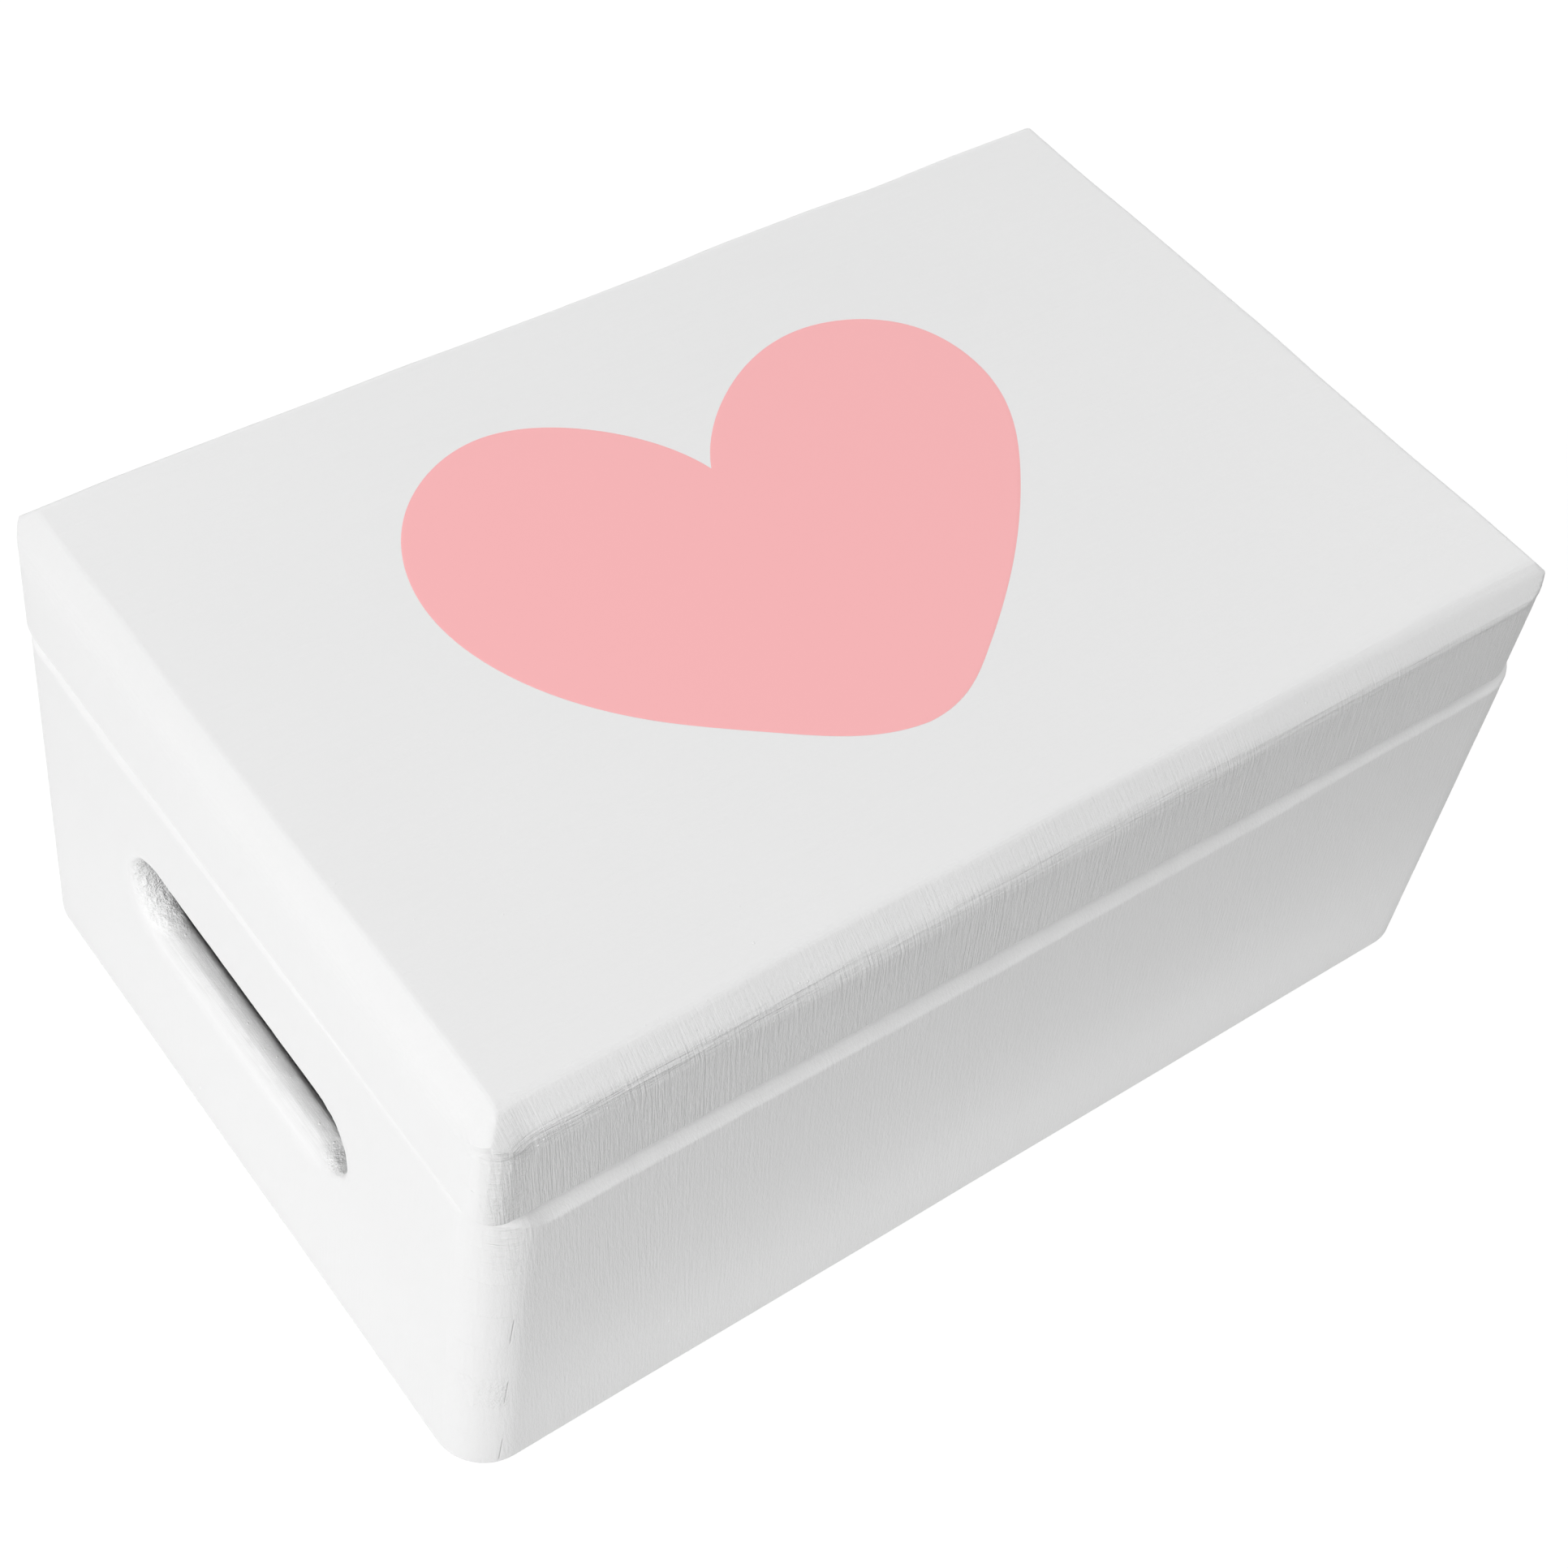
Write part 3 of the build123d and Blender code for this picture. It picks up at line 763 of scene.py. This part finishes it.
def speck_tree():
    """Flattened grains strewn over a surface, as many as the surface asks for."""
    tree = bpy.data.node_groups.new("strewn_specks", "GeometryNodeTree")
    kinds = {
        "Surface": "Geometry", "Smallest": "Float", "Largest": "Float", "Flatness": "Float",
        "Seed": "Int", "Paint": "Material",
    }
    sockets = {
        name: tree.interface.new_socket(name, in_out="INPUT", socket_type="NodeSocket" + kind).identifier
        for name, kind in kinds.items()
    }
    tree.interface.new_socket("Specks", in_out="OUTPUT", socket_type="NodeSocketGeometry")
    given, result = tree.nodes.new("NodeGroupInput"), tree.nodes.new("NodeGroupOutput")
    wanted = tree.nodes.new("GeometryNodeInputNamedAttribute")
    wanted.data_type = "FLOAT"
    wanted.inputs["Name"].default_value = "specks_wanted"
    strewn = tree.nodes.new("GeometryNodeDistributePointsOnFaces")
    grain = tree.nodes.new("GeometryNodeMeshIcoSphere")
    grain.inputs["Radius"].default_value = 1.0
    grain.inputs["Subdivisions"].default_value = 1
    size = tree.nodes.new("FunctionNodeRandomValue")
    size.data_type = "FLOAT"
    height = tree.nodes.new("ShaderNodeMath")
    height.operation = "MULTIPLY"
    scale = tree.nodes.new("ShaderNodeCombineXYZ")
    placed = tree.nodes.new("GeometryNodeInstanceOnPoints")
    real = tree.nodes.new("GeometryNodeRealizeInstances")
    painted = tree.nodes.new("GeometryNodeSetMaterial")
    wires = (
        (given, "Surface", strewn, "Mesh"), (wanted, 0, strewn, "Density"), (given, "Seed", strewn, "Seed"),
        (given, "Seed", size, "Seed"), (given, "Smallest", size, 2), (given, "Largest", size, 3),
        (size, 1, scale, 0), (size, 1, scale, 1), (size, 1, height, 0), (given, "Flatness", height, 1),
        (height, 0, scale, 2), (grain, "Mesh", placed, "Instance"), (strewn, "Points", placed, "Points"),
        (strewn, "Rotation", placed, "Rotation"), (scale, 0, placed, "Scale"), (placed, 0, real, 0),
        (real, 0, painted, "Geometry"), (given, "Paint", painted, "Material"), (painted, 0, result, 0),
    )
    for giver, output, taker, socket in wires:
        tree.links.new(giver.outputs[output], taker.inputs[socket])
    return tree, sockets


def strew_specks(body, boards, paint, seed, tree, sockets):
    """The specks on all the boards of one body, as one plain mesh."""
    points, faces, depths = [], [], []
    for board in boards:
        mesh = bpy.data.objects["painted_" + board].data
        depth = np.empty(len(mesh.vertices), np.float32)
        mesh.attributes["paint_depth"].data.foreach_get("value", depth)
        ends = np.empty(len(mesh.loops), np.int32)
        mesh.loops.foreach_get("vertex_index", ends)
        faces.append(ends.reshape(-1, 3) + sum(len(part) for part in points))
        points.append(points_of(mesh))
        depths.append(depth)
    points, faces, depths = np.concatenate(points), np.concatenate(faces), np.concatenate(depths)
    bed = bpy.data.meshes.new("bed_of_specks")
    bed.from_pydata(points / 1000, [], faces)
    wanted = bed.attributes.new("specks_wanted", "FLOAT", "POINT")
    wanted.data.foreach_set("value", specks_wanted(points, depths, body).astype(np.float32))
    holder = in_scene("bed_of_specks", bed)
    work = holder.modifiers.new("strewn", "NODES")
    work.node_group = tree
    work[sockets["Smallest"]] = SPECK_SMALLEST
    work[sockets["Largest"]] = SPECK_LARGEST
    work[sockets["Flatness"]] = SPECK_FLATNESS
    work[sockets["Seed"]] = seed
    work[sockets["Paint"]] = paint
    view = bpy.context.evaluated_depsgraph_get()
    mesh = bpy.data.meshes.new_from_object(holder.evaluated_get(view), depsgraph=view)
    bpy.data.objects.remove(holder)
    lowest, highest = np.array(cad_box) * 1000
    move_points(mesh, np.clip(points_of(mesh), lowest + SPECK_INSIDE, highest - SPECK_INSIDE))
    mesh.update()
    specks = in_scene("paint_specks_" + body, mesh)
    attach(specks, body)


walls = ("front_wall", "back_wall", "left_wall", "right_wall")
lid_boards = ("lid_board", "lid_front_rail", "lid_back_rail", "lid_left_rail", "lid_right_rail")
grain_tree, grain_sockets = speck_tree()
strew_specks("box", walls, body_paint_along, 3, grain_tree, grain_sockets)
strew_specks("lid", lid_boards, lid_paint_along, 4, grain_tree, grain_sockets)

# Heart on the lid. A thin matte pink film, pressed down on the dry paint so that its rim lies
# closest to the board. The brush strokes below it show only faintly.
HEART_SKIN = 0.05
HEART_RIM = 0.6
HEART_RIM_SKIN = 0.01
PINK = (0.97, 0.475, 0.487)


def heart_finish():
    """Matte pink film with the faint grain of the lid below it."""
    finish, tree, place, _ = new_finish("pink_film")
    below = streaks(tree, place, (0.04, 0.8, 0.8), 3.0, 0.6)
    peel = streaks(tree, place, (2.5, 2.5, 2.5), 1.0)
    tone = calc(tree, "ADD", weighted(tree, (peel, 0.01), (below, 0.006)), 1.0)
    pink = put(tree, "VectorMath", {0: PINK, "Scale": tone}, operation="SCALE")
    roughness = calc(tree, "ADD", weighted(tree, (below, 0.1)), 0.6)
    height = weighted(tree, (below, 0.003), (peel, 0.001))
    close_finish(
        tree, height, Base_Color=pink.outputs[0], Roughness=roughness, IOR=1.46, Specular_IOR_Level=0.25,
    )
    return finish


def pressed_heart():
    """The film with its rim pressed down on to the lid."""
    film = merged("heart_film")
    film.normal_update()
    upper = [face for face in film.faces if face.normal.z > 0.9]
    bmesh.ops.inset_region(film, faces=upper, thickness=HEART_RIM / 1000, use_even_offset=True)
    inner = {corner for face in upper for corner in face.verts}
    for corner in film.verts:
        if corner in inner:
            corner.co.z = (LID_TOP + HEART_SKIN) / 1000
        elif corner.co.z > (LID_TOP + HEART_RIM_SKIN) / 1000:
            corner.co.z = (LID_TOP + HEART_RIM_SKIN) / 1000
    mesh = plain_mesh(film, "pressed_heart")
    mesh.materials.append(heart_finish())
    heart = in_scene("pressed_heart", mesh)
    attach(heart, "lid")
    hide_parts("heart_film")


pressed_heart()

# Bottom panel. Birch plywood 4 mm thick, let into the walls from below. It is painted white inside
# with the rest, and bare below.
VENEER = 1.33
VENEER_SEAM = 0.66
SWIRL = 38.0
PALE_BIRCH = (0.72, 0.55, 0.36, 1)
DARK_BIRCH = (0.50, 0.33, 0.18, 1)
CROSS_VENEER = (0.36, 0.21, 0.11, 1)
THIN_WHITE = (0.82, 0.82, 0.815, 1)


def plywood_finish():
    """Bare birch plywood below and on its edges, thin white paint on the inside."""
    finish, tree, place, normal = new_finish("birch_plywood")
    faces_up = put(tree, "SeparateXYZ", {0: normal}).outputs[2]
    z = put(tree, "SeparateXYZ", {0: place}).outputs[2]
    swirl = streaks(tree, place, (0.012, 0.05, 0.05), 3.0, 0.55)
    bend = put(tree, "CombineXYZ", {1: times(tree, swirl, SWIRL)}).outputs[0]
    bent = put(tree, "VectorMath", {0: place, 1: bend}, operation="ADD").outputs[0]
    growth = streaks(tree, bent, (0.004, 0.17, 0.17), 2.0, 0.6)
    pores = streaks(tree, bent, (0.12, 2.2, 2.2), 2.0, 0.6)
    figure = weighted(tree, (growth, 1.1), (pores, 0.55), (swirl, 0.3))
    bare = put(tree, "ValToRGB", {0: calc(tree, "ADD", figure, 0.5)})
    dark, pale = bare.color_ramp.elements
    dark.position, dark.color = 0.25, DARK_BIRCH
    pale.position, pale.color = 0.75, PALE_BIRCH
    ply = calc(tree, "GREATER_THAN", calc(tree, "PINGPONG", z, VENEER), VENEER_SEAM)
    on_edge = calc(tree, "LESS_THAN", calc(tree, "ABSOLUTE", faces_up), 0.5)
    cross = times(tree, ply, on_edge)
    veneers = put(tree, "Mix", {0: cross, 6: bare.outputs[0], 7: CROSS_VENEER}, data_type="RGBA")
    inside = calc(tree, "GREATER_THAN", faces_up, 0.5)
    strokes = streaks(tree, place, (0.04, 0.7, 0.7), 3.0, 0.6)
    thin_paint_and_front_shade = times(tree, inside, calc(tree, "ADD", weighted(tree, (strokes, 0.08)), 0.95))
    colour = put(tree, "Mix", {0: thin_paint_and_front_shade, 6: veneers.outputs[2], 7: THIN_WHITE}, data_type="RGBA")
    roughness = calc(tree, "ADD", weighted(tree, (pores, 0.15)), 0.62)
    height = weighted(tree, (pores, 0.02), (strokes, 0.02))
    close_finish(tree, height, Base_Color=colour.outputs[2], Roughness=roughness, Specular_IOR_Level=0.3)
    return finish


def dress(node, finish):
    """Gives a CAD node its finish."""
    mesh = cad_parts[node].data
    mesh.materials.clear()
    mesh.materials.append(finish)


dress("bottom_panel", plywood_finish())

# Panel pins, and the two butt hinges with their screws. The pins are bright drawn steel. The hinges
# are pressed from brass-plated steel, brushed along the leaf, with a faint tarnish.
STEEL = (0.56, 0.57, 0.58)
BRASS = (0.78, 0.58, 0.27)


def metal_finish(name, colour, dullness, stroke):
    """Brushed metal with faint tarnish."""
    finish, tree, place, _ = new_finish(name)
    brushed = streaks(tree, place, stroke, 2.0, 0.6)
    tarnish = streaks(tree, place, (0.25, 0.25, 0.25), 3.0, 0.6)
    tone = calc(tree, "ADD", weighted(tree, (tarnish, 0.5), (brushed, 0.12)), 0.92)
    metal = put(tree, "VectorMath", {0: colour, "Scale": tone}, operation="SCALE")
    roughness = calc(tree, "ADD", weighted(tree, (tarnish, 0.3), (brushed, 0.15)), dullness)
    height = weighted(tree, (brushed, 0.006))
    close_finish(tree, height, Base_Color=metal.outputs[0], Roughness=roughness, Metallic=1.0)
    return finish


dress("bottom_pins", metal_finish("drawn_steel", STEEL, 0.32, (3.0, 3.0, 0.3)))
brass = metal_finish("brass_plate", BRASS, 0.30, (0.2, 4.0, 4.0))
for hinge in ("left_hinge_", "right_hinge_"):
    for piece in ("body_leaf", "lid_leaf", "body_screws", "lid_screws", "pin"):
        dress(hinge + piece, brass)

# Floor and light. A white floor below the box, four soft lights high up on the left, on the right,
# behind and in front, two faint lit cards low in front and on the left, and a dim white room.
FLOOR_REACH = 6.0
FLOOR_HEIGHT = -0.0004
WHITE_LIGHT = (1, 1, 1, 1)


def seen_directly(tree):
    """1 where the camera sees a surface itself, in a mirror or through glass, and 0 where light bounces."""
    seen = put(tree, "LightPath").outputs
    mirrored = calc(tree, "MAXIMUM", seen["Is Camera Ray"], seen["Is Glossy Ray"])
    return calc(tree, "MAXIMUM", mirrored, seen["Is Transmission Ray"])


def stage_floor():
    """White floor that shows as the backdrop's white and still takes a faint shadow."""
    mesh = bpy.data.meshes.new("floor")
    ways = ((-1, -1), (1, -1), (1, 1), (-1, 1))
    ends = [(FLOOR_REACH * x, FLOOR_REACH * y, FLOOR_HEIGHT) for x, y in ways]
    mesh.from_pydata(ends, [], [(0, 1, 2, 3)])
    floor = in_scene("floor", mesh)
    finish = bpy.data.materials.new("white_floor")
    finish.use_nodes = True
    tree = finish.node_tree
    tree.nodes.clear()
    plain = put(tree, "BsdfDiffuse", {"Color": (0.80, 0.80, 0.80, 1)})
    faint = put(tree, "BsdfDiffuse", {"Color": (0.22, 0.22, 0.22, 1)})
    white = put(tree, "Emission", {"Color": WHITE_LIGHT, "Strength": 0.86})
    backdrop = put(tree, "AddShader", {0: faint.outputs[0], 1: white.outputs[0]})
    mixed = put(tree, "MixShader", {0: seen_directly(tree), 1: plain.outputs[0], 2: backdrop.outputs[0]})
    put(tree, "OutputMaterial", {"Surface": mixed.outputs[0]})
    mesh.materials.append(finish)


stage_floor()

room = bpy.data.worlds.new("room")
bpy.context.scene.world = room
room.use_nodes = True
air = room.node_tree
air.nodes.clear()
dim = put(air, "Background", {"Color": WHITE_LIGHT, "Strength": 0.12})
bright = put(air, "Background", {"Color": WHITE_LIGHT, "Strength": 1.0})
mixed = put(air, "MixShader", {0: seen_directly(air), 1: dim.outputs[0], 2: bright.outputs[0]})
put(air, "OutputWorld", {"Surface": mixed.outputs[0]})


def stand(thing, right, up, back, place):
    """Stands an object at a place, with its own three axes turned to the given directions."""
    turn = np.eye(4)
    turn[:3] = np.stack([right, up, back, place], axis=1)
    thing.matrix_world = Matrix(turn.tolist())


def soft_light(name, place, aim, size, power):
    """A soft light or a lit card that looks at a point."""
    lamp = bpy.data.lights.new(name, "AREA")
    lamp.shape = "RECTANGLE"
    lamp.size, lamp.size_y = size
    lamp.energy = power
    holder = in_scene(name, lamp)
    holder.visible_camera = False
    way = np.array(aim) - np.array(place)
    back = -way / np.linalg.norm(way)
    side = np.cross((0, 0, 1), back)
    side = side / np.linalg.norm(side)
    stand(holder, side, np.cross(back, side), back, place)


soft_light("front_high_light", place=(0, -0.6, 1.4), aim=(0, 0, 0.07), size=(1, 1), power=4.8)
soft_light("left_light", place=(-1.4, -0.45, 0.9), aim=(-0.1, 0, 0.08), size=(0.8, 0.8), power=18.2)
soft_light("right_light", place=(1.3, 0.2, 1.0), aim=(0, 0, 0.07), size=(1, 1), power=8.3)
soft_light("back_light", place=(0, 1.4, 0.9), aim=(0, 0, 0.07), size=(1, 1), power=9.0)
soft_light("front_card", place=(0, -0.150, 0.012), aim=(0, -0.099, 0.012), size=(0.32, 0.02), power=0.0146)
soft_light("left_card", place=(-0.21, 0, 0.010), aim=(-0.15, 0, 0.02), size=(0.22, 0.03), power=0.0070)

# Camera, where the photograph was taken from
camera = bpy.data.cameras.new("camera")
camera.sensor_width = 36.0
camera.lens = 64.9945
camera.shift_x = 0.03986
camera.shift_y = 0.0176
camera.clip_start = 0.01
viewer = in_scene("camera", camera)
stand(
    viewer,
    right=(0.80368066, -0.58572246, 0.1050076),
    up=(0.39771054, 0.65997549, 0.63738425),
    back=(-0.44263271, -0.47049076, 0.76335753),
    place=(-0.323349, -0.329282, 0.581498),
)
bpy.context.scene.camera = viewer
bpy.context.scene.view_settings.view_transform = "Standard"
